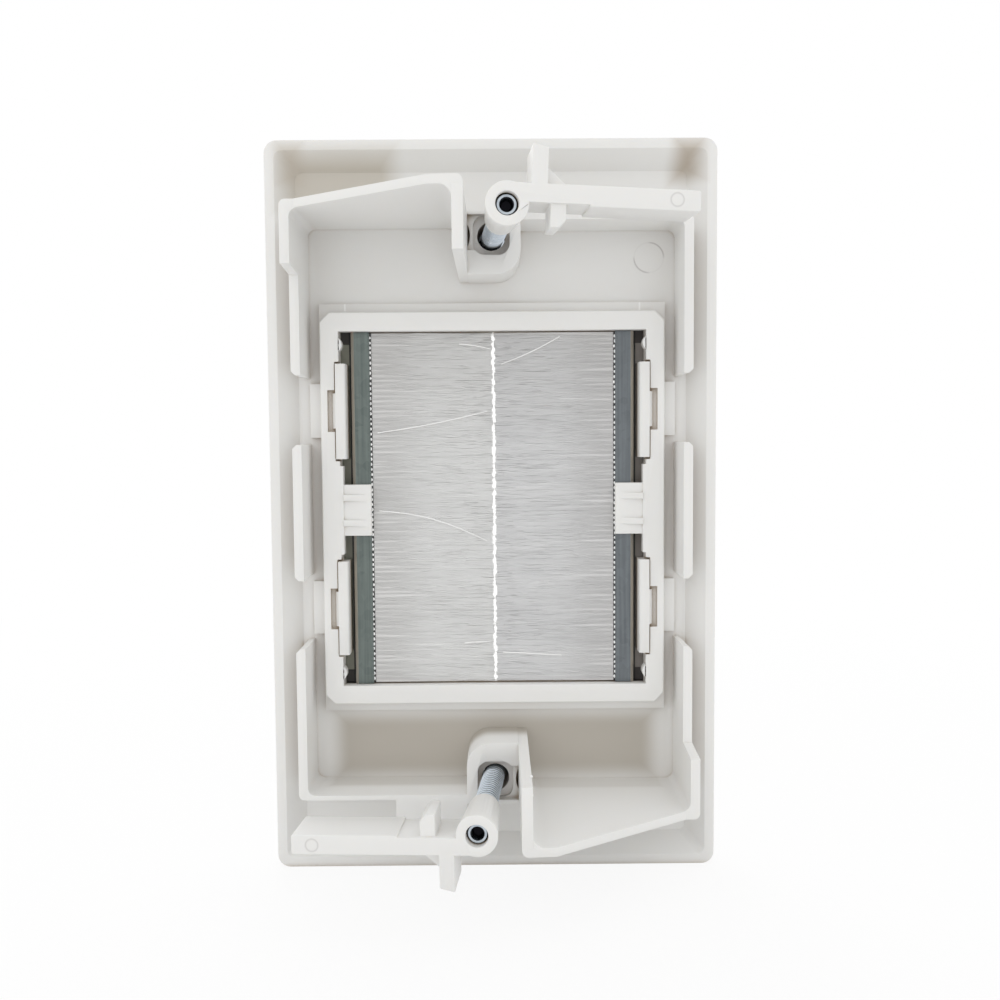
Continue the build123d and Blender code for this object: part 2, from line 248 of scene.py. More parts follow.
def draw_box(graph: NodeGraph, given: Sockets) -> dict[str, Socket]:
    """Where a point lies inside a box, with soft borders.

    Args:
        graph: The group's graph.
        given: Its input sockets.

    Returns:
        The inside as a mask.
    """
    past = graph.vector("SUBTRACT", graph.vector("ABSOLUTE", given["Vector"]), given["Half"])
    parts = graph.add("SeparateXYZ", {"Vector": past}).outputs
    most = graph.maths("MAXIMUM", graph.maths("MAXIMUM", parts["X"], parts["Y"]), parts["Z"])
    return {"Inside": graph.between(graph.maths("DIVIDE", most, given["Soft"]), 1.0, -1.0)}


def draw_axis(graph: NodeGraph, given: Sockets) -> dict[str, Socket]:
    """How far a point lies from an axis, and how far along it.

    Args:
        graph: The group's graph.
        given: Its input sockets.

    Returns:
        Both distances.
    """
    along = graph.vector("DOT_PRODUCT", given["Vector"], given["Axis"])
    foot = graph.vector("SCALE", given["Axis"], along)
    return {"Away": graph.vector("DISTANCE", given["Vector"], foot), "Along": along}


def draw_ring(graph: NodeGraph, given: Sockets) -> dict[str, Socket]:
    """The round witness line that an ejector pin leaves, stronger at two opposite sides.

    Args:
        graph: The group's graph.
        given: Its input sockets.

    Returns:
        The line, and the disc inside it, as masks.
    """
    away = graph.maths("SUBTRACT", graph.vector("LENGTH", given["Vector"]), given["Radius"])
    share = graph.maths("DIVIDE", away, given["Width"])
    line = graph.maths("SUBTRACT", 1.0, graph.maths("ABSOLUTE", share), clamp=True)
    lean = graph.vector("DOT_PRODUCT", graph.vector("NORMALIZE", given["Vector"]), given["Across"])
    arc = graph.between(graph.maths("ABSOLUTE", lean), 0.55, 0.9)
    line = graph.maths("MULTIPLY", line, graph.maths("MAXIMUM", arc, given["Even"]))
    return {"Line": line, "Inside": graph.between(share, 0.5, -0.5)}


def draw_streaks(graph: NodeGraph, given: Sockets) -> dict[str, Socket]:
    """Long fine streaks, as on rolled sheet or combed filaments.

    Args:
        graph: The group's graph.
        given: Its input sockets.

    Returns:
        The streaks as a mask.
    """
    stretched = graph.vector("MULTIPLY", given["Vector"], given["Stretch"])
    noise = graph.add("TexNoise", {"Vector": stretched, "Scale": 1.0, "Detail": 4.0}).outputs["Fac"]
    low = graph.maths("SUBTRACT", 0.5, given["Contrast"])
    high = graph.maths("ADD", 0.5, given["Contrast"])
    return {"Streak": graph.between(noise, low, high)}


GRAIN = Effect("moulded_grain", {"Vector": ORIGIN, "Grain": 3200.0, "Flow": 90.0}, draw_grain)
CORNER_SHADE = Effect("corner_shade", {"Reach": 0.006}, draw_shade)
EDGE_LIGHT = Effect("edge_light", {"Reach": 0.0005}, draw_edge)
BOX_MASK = Effect("box_mask", {"Vector": ORIGIN, "Half": ORIGIN, "Soft": 0.0001}, draw_box)
AXIS_PLACE = Effect("axis_place", {"Vector": ORIGIN, "Axis": ORIGIN}, draw_axis)
RING_MARK = Effect(
    "ring_mark",
    {"Vector": ORIGIN, "Across": ORIGIN, "Radius": 0.001, "Width": 0.0001, "Even": 1.0},
    draw_ring,
)
STREAKS = Effect("drawn_streaks", {"Vector": ORIGIN, "Stretch": ORIGIN, "Contrast": 0.2}, draw_streaks)


@dataclass(frozen=True)
class Finish:
    """A surface finish that makes its own material.

    Attributes:
        name: The material's name.
    """

    name: str

    def start(self) -> tuple[bpy.types.Material, NodeGraph, Sockets]:
        """Starts the material.

        Returns:
            The material, its graph and the sockets with the coordinates.
        """
        material = bpy.data.materials.new(self.name)
        material.use_nodes = True
        graph = NodeGraph(material.node_tree)
        return material, graph, graph.add("TexCoord").outputs


@dataclass(frozen=True)
class PinMark:
    """An ejector pin's witness ring on a moulding.

    Attributes:
        place: Its centre as u, v, w in millimetres.
        radius: Its radius in millimetres.
        dark: How dark the line is, from 0 to 1.
        even: How much of the line shows away from its two strongest sides.
        width: The line's width in millimetres.
        colour: The line's colour.
        across: The direction in which it is strongest, in the part's frame.
    """

    place: Triple
    radius: float
    dark: float
    even: float = 1.0
    width: float = 0.18
    colour: Colour = (0.30, 0.27, 0.27, 1.0)
    across: Triple = (-0.7071, 0.0, 0.7071)


@dataclass(frozen=True)
class ShadeBox:
    """A stretch of plastic painted with the shade of what stands beside it; a few such boxes paint light
    instead.

    Attributes:
        centre: Its middle as u, v, w in millimetres.
        half: Half its size in u, v and w.
        colour: The colour painted there: darker for painted shade, paler for painted light.
        soft: How wide its border fades, in millimetres.
    """

    centre: Triple
    half: Triple
    colour: Colour
    soft: float = 0.1


@dataclass(frozen=True)
class MouldedPlastic(Finish):
    """Slightly warm white moulded plastic with a satin skin.

    Attributes:
        colour: Its colour in the open.
        warm: The warm colour of the painted shade deep in corners.
        corner_shade_share: How far corners turn to that painted shade.
        reach: How far from a corner the painted shade starts, in millimetres.
        tan: The brownish painted shade at the bottom of narrow notches.
        notch_reach: How far from a notch's bottom that starts.
        cool: The colour of its slow unevenness.
        bright: The painted highlight along outside edges.
        edge_reach: How far from an edge that starts.
        marks: Ejector pin rings on it.
        shades: Stretches with painted shade, and a few with painted light.
    """

    colour: Colour = (0.83, 0.825, 0.805, 1.0)
    warm: Colour = (0.50, 0.43, 0.37, 1.0)
    corner_shade_share: float = 0.38
    reach: float = 11.0
    tan: Colour = (0.38, 0.27, 0.15, 1.0)
    notch_reach: float = 1.3
    cool: Colour = (0.74, 0.74, 0.745, 1.0)
    bright: Colour = (0.97, 0.97, 0.955, 1.0)
    edge_reach: float = 0.4
    marks: tuple[PinMark, ...] = ()
    shades: tuple[ShadeBox, ...] = ()

    def build(self) -> bpy.types.Material:
        """Makes the material, with painted shade in corners and notches, a painted highlight along edges,
        and painted shade and light boxes and marks only where it faces the rear.

        Returns:
            The material.
        """
        material, graph, coords = self.start()
        place = coords["Object"]
        facing = graph.add("SeparateXYZ", {"Vector": coords["Normal"]})
        rear = graph.between(facing.outputs["Y"], -0.5, -0.2)
        grain = GRAIN.place(graph, {"Vector": place})
        corner = CORNER_SHADE.place(graph, {"Reach": self.reach * MM})["Mask"]
        corner = graph.between(corner, 0.36, 0.95, 0.0, self.corner_shade_share)
        notch = CORNER_SHADE.place(graph, {"Reach": self.notch_reach * MM})["Mask"]
        notch = graph.between(notch, 0.3, 0.8, 0.0, 0.75)
        edge = EDGE_LIGHT.place(graph, {"Reach": self.edge_reach * MM})["Mask"]
        # Painted warm shade deep in corners, where less light reaches.
        colour = graph.blend(corner, self.colour, self.warm)
        # Painted brownish shade at the bottom of narrow notches.
        colour = graph.blend(notch, colour, self.tan)
        colour = graph.blend(graph.maths("MULTIPLY", grain["Mottle"], 0.05), colour, self.cool)
        # Painted highlight along outside edges.
        colour = graph.blend(graph.maths("MULTIPLY", edge, 0.6), colour, self.bright)
        # Painted shade and painted light, laid only where the plastic faces the rear.
        for shade in self.shades:
            offset = graph.vector("SUBTRACT", place, behind(*shade.centre))
            half = (shade.half[0] * MM, shade.half[2] * MM, shade.half[1] * MM)
            box = BOX_MASK.place(graph, {"Vector": offset, "Half": half, "Soft": shade.soft * MM})
            colour = graph.blend(graph.maths("MULTIPLY", box["Inside"], rear), colour, shade.colour)
        height = grain["Height"]
        for mark in self.marks:
            offset = graph.vector("SUBTRACT", place, behind(*mark.place))
            sizes = {"Radius": mark.radius * MM, "Width": mark.width * MM, "Even": mark.even}
            ring = RING_MARK.place(graph, {"Vector": offset, "Across": mark.across, **sizes})
            height = graph.maths("MULTIPLY_ADD", ring["Line"], -4.0, height)
            height = graph.maths("MULTIPLY_ADD", ring["Inside"], -1.5, height)
            dark = graph.maths("MULTIPLY", graph.maths("MULTIPLY", ring["Line"], mark.dark), rear)
            colour = graph.blend(dark, colour, mark.colour)
        graph.surface(
            {
                "Base Color": colour,
                "Normal": graph.bump(height, 0.12, 0.00004),
                "Roughness": 0.42,
                "Subsurface Weight": 0.12,
                "Subsurface Radius": (0.9, 0.8, 0.65),
                "Subsurface Scale": 0.0008,
                "Specular IOR Level": 0.4,
            }
        )
        return material


@dataclass(frozen=True)
class GalvanisedSheet(Finish):
    """Dull greenish grey galvanised strip, rolled along its length.

    Attributes:
        colour: Its main colour.
        bright: The colour of its lighter streaks.
        worn: The painted reflection of the white frame, past its outer fold.
        fold: Where that fold lies, as u in millimetres.
    """

    colour: Colour
    bright: Colour
    worn: Colour = (0.58, 0.54, 0.47, 1.0)
    fold: float = 21.86

    def build(self) -> bpy.types.Material:
        """Makes the material.

        Returns:
            The material.
        """
        material, graph, coords = self.start()
        place = coords["Object"]
        rolled = {"Vector": place, "Stretch": (2600.0, 2600.0, 60.0), "Contrast": 0.3}
        streak = STREAKS.place(graph, rolled)["Streak"]
        spangle = graph.add("TexVoronoi", {"Vector": place, "Scale": 900.0})
        patch = graph.add("SeparateColor", {"Color": spangle.outputs["Color"]}).outputs["Red"]
        share = graph.maths("MULTIPLY_ADD", patch, 0.3, graph.maths("MULTIPLY", streak, 0.45))
        colour = graph.blend(share, self.colour, self.bright)
        away = graph.maths("ABSOLUTE", graph.add("SeparateXYZ", {"Vector": place}).outputs["X"])
        # Past the outer fold the strip is painted pale, as a painted reflection of the white frame beside
        # it.
        fold = graph.between(away, (self.fold - 0.08) * MM, (self.fold + 0.08) * MM, 0.0, 0.9)
        graph.surface(
            {
                "Base Color": graph.blend(fold, colour, self.worn),
                "Roughness": graph.between(patch, 0.0, 1.0, 0.34, 0.5),
                "Normal": graph.bump(streak, 0.15, 0.00003),
                "Metallic": 0.75,
            }
        )
        return material


@dataclass(frozen=True)
class ZincPlate(Finish):
    """Bluish zinc plating, with painted shade down in the thread, in corners, on the tip and in the cupped
    tip's hollow.

    Attributes:
        colour: Its colour on crests and the head.
        deep: The painted shade in the thread's roots, in corners and on the tip.
        cloudy: The colour of its clouds.
        hollow: The painted shade down in the cup.
        roughness: How matt it is.
        crest: The thread's crest radius in millimetres.
        length: The length from the head's rim to the tip.
        cup: The radius of the hollow in the tip.
    """

    colour: Colour = (0.70, 0.76, 0.82, 1.0)
    deep: Colour = (0.035, 0.045, 0.05, 1.0)
    cloudy: Colour = (0.44, 0.52, 0.60, 1.0)
    hollow: Colour = (0.008, 0.008, 0.01, 1.0)
    roughness: float = 0.26
    crest: float = 1.70
    length: float = 31.75
    cup: float = 0.68

    def threaded(self, graph: NodeGraph, colour: Socket, offset: Socket, axis: Vector) -> Socket:
        """Paints shade into a shank's thread roots, onto its tip and into the hollow in it.

        Args:
            graph: The material's graph.
            colour: The colour so far.
            offset: The place, from the head end of the shank's axis.
            axis: The direction from there to its tip.

        Returns:
            The darkened colour.
        """
        spot = AXIS_PLACE.place(graph, {"Vector": offset, "Axis": axis})
        away = spot["Away"]
        along = spot["Along"]
        # Painted shade in the thread's roots, then on the tip.
        root = graph.between(away, (self.crest - 0.02) * MM, (self.crest - 0.2) * MM, 0.0, 0.9)
        shank = graph.between(along, (self.length - 0.25) * MM, (self.length - 0.6) * MM)
        shank = graph.maths("MULTIPLY", shank, graph.between(along, 0.6 * MM, 1.2 * MM))
        colour = graph.blend(graph.maths("MULTIPLY", root, shank), colour, self.deep)
        tip = graph.between(along, (self.length - 1.2) * MM, (self.length - 0.1) * MM, 0.0, 0.2)
        colour = graph.blend(tip, colour, self.deep)
        # Painted shade down in the cup.
        inner = graph.between(away, (self.cup + 0.08) * MM, (self.cup - 0.08) * MM)
        end = graph.between(along, (self.length - 2.0) * MM, (self.length - 1.7) * MM)
        return graph.blend(graph.maths("MULTIPLY", inner, end), colour, self.hollow)

    def build(self, start: Vector | None = None, axis: Vector | None = None) -> bpy.types.Material:
        """Makes the material.

        Args:
            start: The head end of a threaded shank's axis, where it has one.
            axis: The direction from there to its tip.

        Returns:
            The material.
        """
        material, graph, coords = self.start()
        place = coords["Object"]
        # Painted shade in corners.
        corner = CORNER_SHADE.place(graph, {"Reach": 0.0012})["Mask"]
        colour = graph.blend(graph.between(corner, 0.35, 0.9, 0.0, 0.9), self.colour, self.deep)
        grain = GRAIN.place(graph, {"Vector": place, "Grain": 5200.0, "Flow": 700.0})
        mottle = grain["Mottle"]
        colour = graph.blend(graph.maths("MULTIPLY", mottle, 0.35), colour, self.cloudy)
        if start is not None:
            colour = self.threaded(graph, colour, graph.vector("SUBTRACT", place, start), axis)
        graph.surface(
            {
                "Base Color": colour,
                "Normal": graph.bump(grain["Height"], 0.2, 0.00002),
                "Roughness": graph.between(mottle, 0.0, 1.0, self.roughness, self.roughness + 0.14),
                "Metallic": 1.0,
            }
        )
        return material


@dataclass(frozen=True)
class BrushFilament(Finish):
    """Fine clear-white filaments, combed along u, with a painted glow at their cut tips and painted shade
    towards the channel and the window's top.

    Attributes:
        colour: The colour along the filament.
        shade: The colour of its darker streaks.
        seam: Where the tips lie, as u in millimetres.
        glow: The colour of the painted highlight and glow at the cut tips.
        painted_shade_colour: The colour of its painted shade.
        mouth: Where the painted shade of the channel's mouth starts, as u.
        hidden: The painted shade inside the channel.
        lit: How much painted glow the whole filament carries.
        dull: How far painted shade darkens it towards the channel.
        dull_top: How far painted shade darkens it towards the window's top.
    """

    colour: Colour
    shade: Colour
    seam: float = 0.15
    glow: Colour = (0.98, 0.98, 0.97, 1.0)
    painted_shade_colour: Colour = (0.36, 0.34, 0.325, 1.0)
    mouth: float = 19.06
    hidden: Colour = (0.02, 0.02, 0.022, 1.0)
    lit: float = 0.0
    dull: float = 0.36
    dull_top: float = 0.18

    def build(self) -> bpy.types.Material:
        """Makes the material.

        Returns:
            The material.
        """
        material, graph, coords = self.start()
        place = coords["Object"]
        fine = {"Vector": place, "Stretch": (120.0, 900.0, 2400.0), "Contrast": 0.25}
        broad = {"Vector": place, "Stretch": (45.0, 200.0, 420.0), "Contrast": 0.3}
        share = graph.maths("MULTIPLY", STREAKS.place(graph, fine)["Streak"], 0.4)
        share = graph.maths("MULTIPLY_ADD", STREAKS.place(graph, broad)["Streak"], 0.6, share)
        colour = graph.blend(share, self.colour, self.shade)
        parts = graph.add("SeparateXYZ", {"Vector": place}).outputs
        across = graph.maths("ABSOLUTE", parts["X"])
        # Painted shade towards the channel's mouth and towards the window's top.
        colour = graph.blend(graph.between(across, 0.009, 0.0195, 0.0, self.dull), colour, self.painted_shade_colour)
        high = graph.between(parts["Z"], 0.008, 0.027, 0.0, self.dull_top)
        colour = graph.blend(high, colour, self.painted_shade_colour)
        away = graph.maths("ABSOLUTE", graph.maths("ADD", parts["X"], self.seam * MM))
        uneven = graph.add("TexNoise", {"Vector": place, "Scale": 1500.0, "Detail": 3.0}).outputs["Fac"]
        width = graph.between(uneven, 0.34, 0.66, 0.00004, 0.00042)
        tip = graph.between(graph.maths("DIVIDE", away, width), 1.1, 0.5)
        # Painted highlight at the cut tips, which also glow through the emission below.
        colour = graph.blend(tip, colour, self.glow)
        # Painted shade inside the channel's mouth.
        inside = graph.between(across, self.mouth * MM, (self.mouth + 0.1) * MM, 0.0, 0.95)
        graph.surface(
            {
                "Base Color": graph.blend(inside, colour, self.hidden),
                "Emission Color": graph.blend(graph.maths("MAXIMUM", tip, self.lit), BLACK, self.glow),
                "Emission Strength": 0.28,
                "Roughness": 0.36,
                "Subsurface Weight": 0.25,
                "Subsurface Radius": (1.0, 1.0, 1.0),
                "Subsurface Scale": 0.0006,
            }
        )
        return material


@dataclass(frozen=True)
class PaleStage(Finish):
    """The floor: pale for light, near white where the camera sees it, with the shadow kept.

    Attributes:
        share: How much plain white is laid over the lit floor close to the plate.
    """

    share: float = 0.88

    def build(self) -> bpy.types.Material:
        """Makes the material.

        Returns:
            The material.
        """
        material, graph, coords = self.start()
        place = coords["Object"]
        lit = graph.add("BsdfDiffuse", {"Color": (0.9, 0.9, 0.9, 1.0)}).outputs["BSDF"]
        white = graph.add("Emission", {"Color": WHITE, "Strength": 1.0}).outputs["Emission"]
        rays = graph.add("LightPath").outputs
        seen = graph.maths("MAXIMUM", rays["Is Camera Ray"], rays["Is Glossy Ray"])
        seen = graph.maths("MAXIMUM", seen, rays["Is Transmission Ray"])
        laid = graph.between(graph.vector("LENGTH", place), 0.09, 0.30, self.share, 1.0)
        factor = graph.maths("MULTIPLY", seen, laid)
        mix = graph.add("MixShader", {0: factor, 1: lit, 2: white})
        graph.add("OutputMaterial", {"Surface": mix.outputs["Shader"]})
        return material


def add_object(name: str, data: bpy.types.ID) -> Piece:
    """Adds an object to the scene.

    Args:
        name: Its name.
        data: Its mesh, curve, lamp or camera.

    Returns:
        The object.
    """
    piece = bpy.data.objects.new(name, data)
    bpy.context.scene.collection.objects.link(piece)
    return piece


def evaluated_mesh(source: Piece) -> bpy.types.Mesh:
    """The mesh that a curve, or an object with modifiers, comes to."""
    bpy.context.view_layer.update()
    return bpy.data.meshes.new_from_object(source.evaluated_get(bpy.context.evaluated_depsgraph_get()))


def finish_mesh(
    bm: bmesh.types.BMesh, name: str, material: bpy.types.Material, smooth_below: float
) -> Piece:
    """Turns a bmesh into a piece at the origin, smooth but for its sharp edges.

    Args:
        bm: The mesh in metres, in the part's frame. It is freed.
        name: The piece's name.
        material: Its finish.
        smooth_below: The edge angle in degrees above which an edge stays sharp.

    Returns:
        The new object.
    """
    mesh = bpy.data.meshes.new(name)
    for face in bm.faces:
        face.smooth = True
    for edge in bm.edges:
        if len(edge.link_faces) == 2:
            edge.smooth = edge.calc_face_angle(0.0) < math.radians(smooth_below)
    bm.to_mesh(mesh)
    bm.free()
    mesh.materials.append(material)
    return add_object(name, mesh)


def cut_away(bm: bmesh.types.BMesh, place: Vector, outward: Vector) -> None:
    """Cuts off what lies past a plane, and leaves the cut open.

    Args:
        bm: The mesh.
        place: A point of the plane.
        outward: Its normal, towards what goes.
    """
    bmesh.ops.bisect_plane(
        bm,
        geom=bm.verts[:] + bm.edges[:] + bm.faces[:],
        plane_co=place,
        plane_no=outward,
        clear_outer=True,
    )


def close_holes(bm: bmesh.types.BMesh) -> None:
    """Fills every open border with a face."""
    bmesh.ops.holes_fill(bm, edges=[edge for edge in bm.edges if edge.is_boundary], sides=0)


def draw_profile(bm: bmesh.types.BMesh, points: list[tuple[float, float]]) -> list:
    """Draws a profile to spin, given as radius and level, and returns its geometry."""
    verts = [bm.verts.new((radius, 0.0, level)) for radius, level in points]
    return verts + [bm.edges.new(pair) for pair in zip(verts, verts[1:])]


def report(piece: Piece) -> Piece:
    """Logs a finished piece and its size, and hands it back."""
    LOG.info("%s: %d faces", piece.name, len(piece.data.polygons))
    return piece


def dress(name: str, material: bpy.types.Material) -> None:
    """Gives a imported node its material.

    Args:
        name: The node's name.
        material: The material.
    """
    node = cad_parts[name]
    node.data.materials.clear()
    node.data.materials.append(material)
    LOG.info("%s: dressed", node.name)


@dataclass
class Moulding:
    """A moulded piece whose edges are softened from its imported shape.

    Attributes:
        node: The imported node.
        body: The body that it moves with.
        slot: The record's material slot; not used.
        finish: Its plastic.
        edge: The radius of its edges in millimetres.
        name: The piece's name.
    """

    node: str
    body: str
    slot: str
    finish: MouldedPlastic
    edge: float
    name: str

    def soften(self) -> bmesh.types.BMesh:
        """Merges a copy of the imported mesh, makes its flats whole and rounds its edges.

        Returns:
            The softened mesh.
        """
        bm = bmesh.new()
        bm.from_mesh(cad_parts[self.node].data)
        bmesh.ops.remove_doubles(bm, verts=bm.verts, dist=1e-6)
        bmesh.ops.dissolve_limit(
            bm, angle_limit=math.radians(0.6), verts=bm.verts, edges=bm.edges, use_dissolve_boundaries=False
        )
        closed = [edge for edge in bm.edges if len(edge.link_faces) == 2]
        bmesh.ops.bevel(
            bm,
            geom=[edge for edge in closed if edge.calc_face_angle(0.0) > math.radians(28)],
            offset=self.edge * MM,
            affect="EDGES",
            segments=2,
            profile=0.5,
            material=-1,
            clamp_overlap=True,
            loop_slide=True,
        )
        return bm

    def build(self) -> Piece:
        """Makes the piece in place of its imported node.

        Returns:
            The piece.
        """
        piece = finish_mesh(self.soften(), self.name, self.finish.build(), SMOOTH_BELOW["moulding"])
        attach(piece, self.body)
        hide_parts(self.node)
        return report(piece)


@dataclass
class MouldingTrim:
    """The rounded lugs on the insert's inner edge and the flash on a guide wall.

    Attributes:
        finish: Its plastic.
        lug_radius: The lugs' radius in millimetres.
        lug_reach: How far their centres lie from the window's middle, in u and v.
        lug_levels: Their front and rear faces, as w.
        inner_edge: Where they leave the insert's inner edge, as u.
        nubs: The nubs of flash as u, v, w and radius.
    """

    finish: MouldedPlastic
    lug_radius: float = 1.25
    lug_reach: tuple[float, float] = (24.8, 26.0)
    lug_levels: tuple[float, float] = (-2.5, -0.63)
    inner_edge: float = 24.06
    nubs: tuple[tuple[float, ...], ...] = ((4.92, -34.4, 24.4, 0.2), (5.06, -37.0, 24.4, 0.16))

    def lugs(self, bm: bmesh.types.BMesh) -> None:
        """Adds the four lugs, with rounded rims, to a mesh.

        Args:
            bm: The mesh.
        """
        front, rear = self.lug_levels
        turn = Matrix.Rotation(math.radians(90.0), 4, "X")
        for side in (-1, 1):
            for end in (-1, 1):
                spot = behind(side * self.lug_reach[0], end * self.lug_reach[1], (front + rear) / 2)
                bmesh.ops.create_cone(
                    bm,
                    cap_ends=True,
                    segments=48,
                    radius1=self.lug_radius * MM,
                    radius2=self.lug_radius * MM,
                    depth=(rear - front) * MM,
                    matrix=Matrix.Translation(spot) @ turn,
                )
        for side in (-1, 1):
            cut_away(bm, behind(side * self.inner_edge, 0.0, 0.0), behind(side, 0.0, 0.0).normalized())
            close_holes(bm)
        rims = [edge for edge in bm.edges if edge.calc_face_angle(0.0) > math.radians(60.0)]
        bmesh.ops.bevel(
            bm, geom=rims, offset=0.1 * MM, affect="EDGES", segments=2, profile=0.5, material=-1
        )

    def build(self) -> Piece:
        """Makes the lugs and nubs as one piece.

        Returns:
            The piece.
        """
        bm = bmesh.new()
        self.lugs(bm)
        for u, v, w, radius in self.nubs:
            matrix = Matrix.Translation(behind(u, v, w))
            bmesh.ops.create_icosphere(bm, subdivisions=2, radius=radius * MM, matrix=matrix)
        piece = finish_mesh(bm, "moulding_trim", self.finish.build(), SMOOTH_BELOW["moulding"])
        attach(piece, "plate")
        return report(piece)


@dataclass
class BrushStrip:
    """One brush: its folded channel, its filaments, the tufts at its mouth and stray bristles.

    Attributes:
        side: Which brush.
        filament_colour: The colour along its filaments.
        filament_shade: Their darker streaks.
        sheet: The finish of its channel.
        tip: Where the filaments end on average, as u in millimetres.
        strays: Filaments that stand proud, as pairs of ends in u and v and a bow.
        seed: Fixes the arrangement.
        mouth: Where the channel's mouth lies, as u.
        root: Where the filaments start inside the channel.
        half_length: Half the length of the brush.
        level: The middle of the channel, as w.
        half_depth: Half the thickness of the brush at the mouth.
        tip_half_depth: Half its thickness at the tips.
        tuft_pitch: The distance from tuft to tuft.
        tuft_levels: Where the two rows of tuft heads lie, as w.
        count: How many filaments it has.
        radius: A filament's radius.
        stray_radius: A stray's radius.
        taper: The share of the radius left at a filament's tip.
        lift: Where a stray's ends lie, as w, and how far its middle stands above them.
    """

    side: Side
    filament_colour: Colour
    filament_shade: Colour
    sheet: GalvanisedSheet
    tip: float
    strays: tuple[tuple[float, ...], ...]
    seed: int
    mouth: float = 19.35
    root: float = 20.5
    half_length: float = 27.75
    level: float = -3.4
    half_depth: float = 0.93
    tip_half_depth: float = 0.80
    tuft_pitch: float = 0.8
    tuft_levels: tuple[float, float] = (-2.28, -4.52)
    count: int = 3600
    radius: float = 0.085
    stray_radius: float = 0.08
    taper: float = 0.8
    lift: tuple[float, float] = (-2.35, 0.35)

    def word(self) -> str:
        """The side's name in lower case."""
        return self.side.name.lower()

    def tuft_count(self) -> int:
        """How many tufts stand along the brush."""
        return int(2 * self.half_length / self.tuft_pitch)

    def glow_finish(self, name: str, blue: float, lit: float) -> bpy.types.Material:
        """Makes the finish of bristles that carry a painted glow.

        Args:
            name: The start of the material's name.
            blue: How much blue they give back.
            lit: How much painted glow they carry.

        Returns:
            The material.
        """
        white = (0.95, 0.95, blue, 1.0)
        name += "_finish_" + self.word()
        return BrushFilament(name, white, white, mouth=30.0, lit=lit, dull=0.0, dull_top=0.0).build()

    def path(self, rng: random.Random) -> list[Triple]:
        """Lays out one filament from its tuft to its tip.

        Args:
            rng: The brush's own random numbers.

        Returns:
            Five points as u, v, w in millimetres.
        """
        sign = self.side.value
        tufts = self.tuft_count()
        middle = (rng.randrange(tufts) + 0.5 - tufts / 2) * self.tuft_pitch
        start = middle + rng.gauss(0.0, 0.16)
        end = middle + rng.uniform(-0.5, 0.5) * self.tuft_pitch + rng.gauss(0.0, 0.28)
        limit = self.half_length + 0.1
        start = max(-limit, min(limit, start))
        end = max(-limit, min(limit, end))
        layer = rng.choice((-1.0, 1.0)) * (1.0 - abs(rng.gauss(0.0, 0.09)))
        bow = rng.gauss(0.0, 0.22)
        tip = self.tip - sign * 0.05 + rng.gauss(0.0, 0.22)
        points = []
        for share in (0.0, 0.12, 0.42, 0.74, 1.0):
            u = sign * self.root + (tip - sign * self.root) * share
            v = start + (end - start) * share + bow * math.sin(math.pi * share)
            half = self.half_depth + (self.tip_half_depth - self.half_depth) * share
            points.append((u, max(-limit, min(limit, v)), self.level + layer * half))
        return points

    def threads(
        self, name: str, paths: list[list[Triple]], radius: float, finish: bpy.types.Material
    ) -> Piece:
        """Makes a mesh of filaments along the given paths.

        Args:
            name: The piece's name.
            paths: Each filament's points as u, v, w.
            radius: The filaments' radius in millimetres.
            finish: Their material.

        Returns:
            The piece.
        """
        curve = bpy.data.curves.new(name, "CURVE")
        curve.dimensions = "3D"
        curve.bevel_depth = radius * MM
        curve.bevel_resolution = 0
        curve.use_fill_caps = True
        for points in paths:
            line = curve.splines.new("POLY")
            line.points.add(len(points) - 1)
            for index, point in enumerate(points):
                line.points[index].co = (*behind(*point), 1.0)
                line.points[index].radius = 1.0 - (1.0 - self.taper) * index / (len(points) - 1)
        holder = add_object(name + "_path", curve)
        mesh = evaluated_mesh(holder)
        bpy.data.objects.remove(holder)
        mesh.name = name
        mesh.materials.clear()
        mesh.materials.append(finish)
        for polygon in mesh.polygons:
            polygon.use_smooth = True
        return add_object(name, mesh)

    def filaments(self, finish: bpy.types.Material) -> Piece:
        """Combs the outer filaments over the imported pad, which is dressed as those beneath.

        Args:
            finish: The filaments' material.

        Returns:
            The piece.
        """
        dress("bristles_" + self.word(), finish)
        rng = random.Random(self.seed)
        paths = [self.path(rng) for _ in range(self.count)]
        piece = self.threads("filaments_" + self.word(), paths, self.radius, finish)
        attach(piece, "plate")
        return report(piece)

    def loose(self) -> Piece:
        """Makes the few bristles that lie across the field.

        Returns:
            The piece.
        """
        rng = random.Random(self.seed + 1)
        low, rise = self.lift
        paths = []
        for u0, v0, u1, v1, bow in self.strays:
            points = []
            for step in range(9):
                share = step / 8
                arch = math.sin(math.pi * share)
                lift = low + rise * arch + rng.gauss(0.0, 0.01)
                points.append((u0 + (u1 - u0) * share, v0 + (v1 - v0) * share + bow * arch, lift))
            paths.append(points)
        # The strays carry a painted glow.
        finish = self.glow_finish("stray", 0.94, 0.5)
        piece = self.threads("stray_bristles_" + self.word(), paths, self.stray_radius, finish)
        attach(piece, "plate")
        return report(piece)

    def tufts(self) -> Piece:
        """Makes the row of tuft heads along both edges of the channel's mouth.

        Returns:
            The piece.
        """
        rng = random.Random(self.seed + 2)
        bm = bmesh.new()
        steps = self.tuft_count()
        for step in range(steps):
            v = (step + 0.5 - steps / 2) * self.tuft_pitch
            for level in self.tuft_levels:
                u = self.side.value * (self.mouth - 0.04 + rng.gauss(0.0, 0.025))
                size = Vector((0.16, 0.17, 0.28 + rng.gauss(0.0, 0.025)))
                spot = behind(u, v + rng.gauss(0.0, 0.03), level)
                matrix = Matrix.Translation(spot) @ Matrix.Diagonal((*(size * MM), 1.0))
                bmesh.ops.create_icosphere(bm, subdivisions=1, radius=1.0, matrix=matrix)
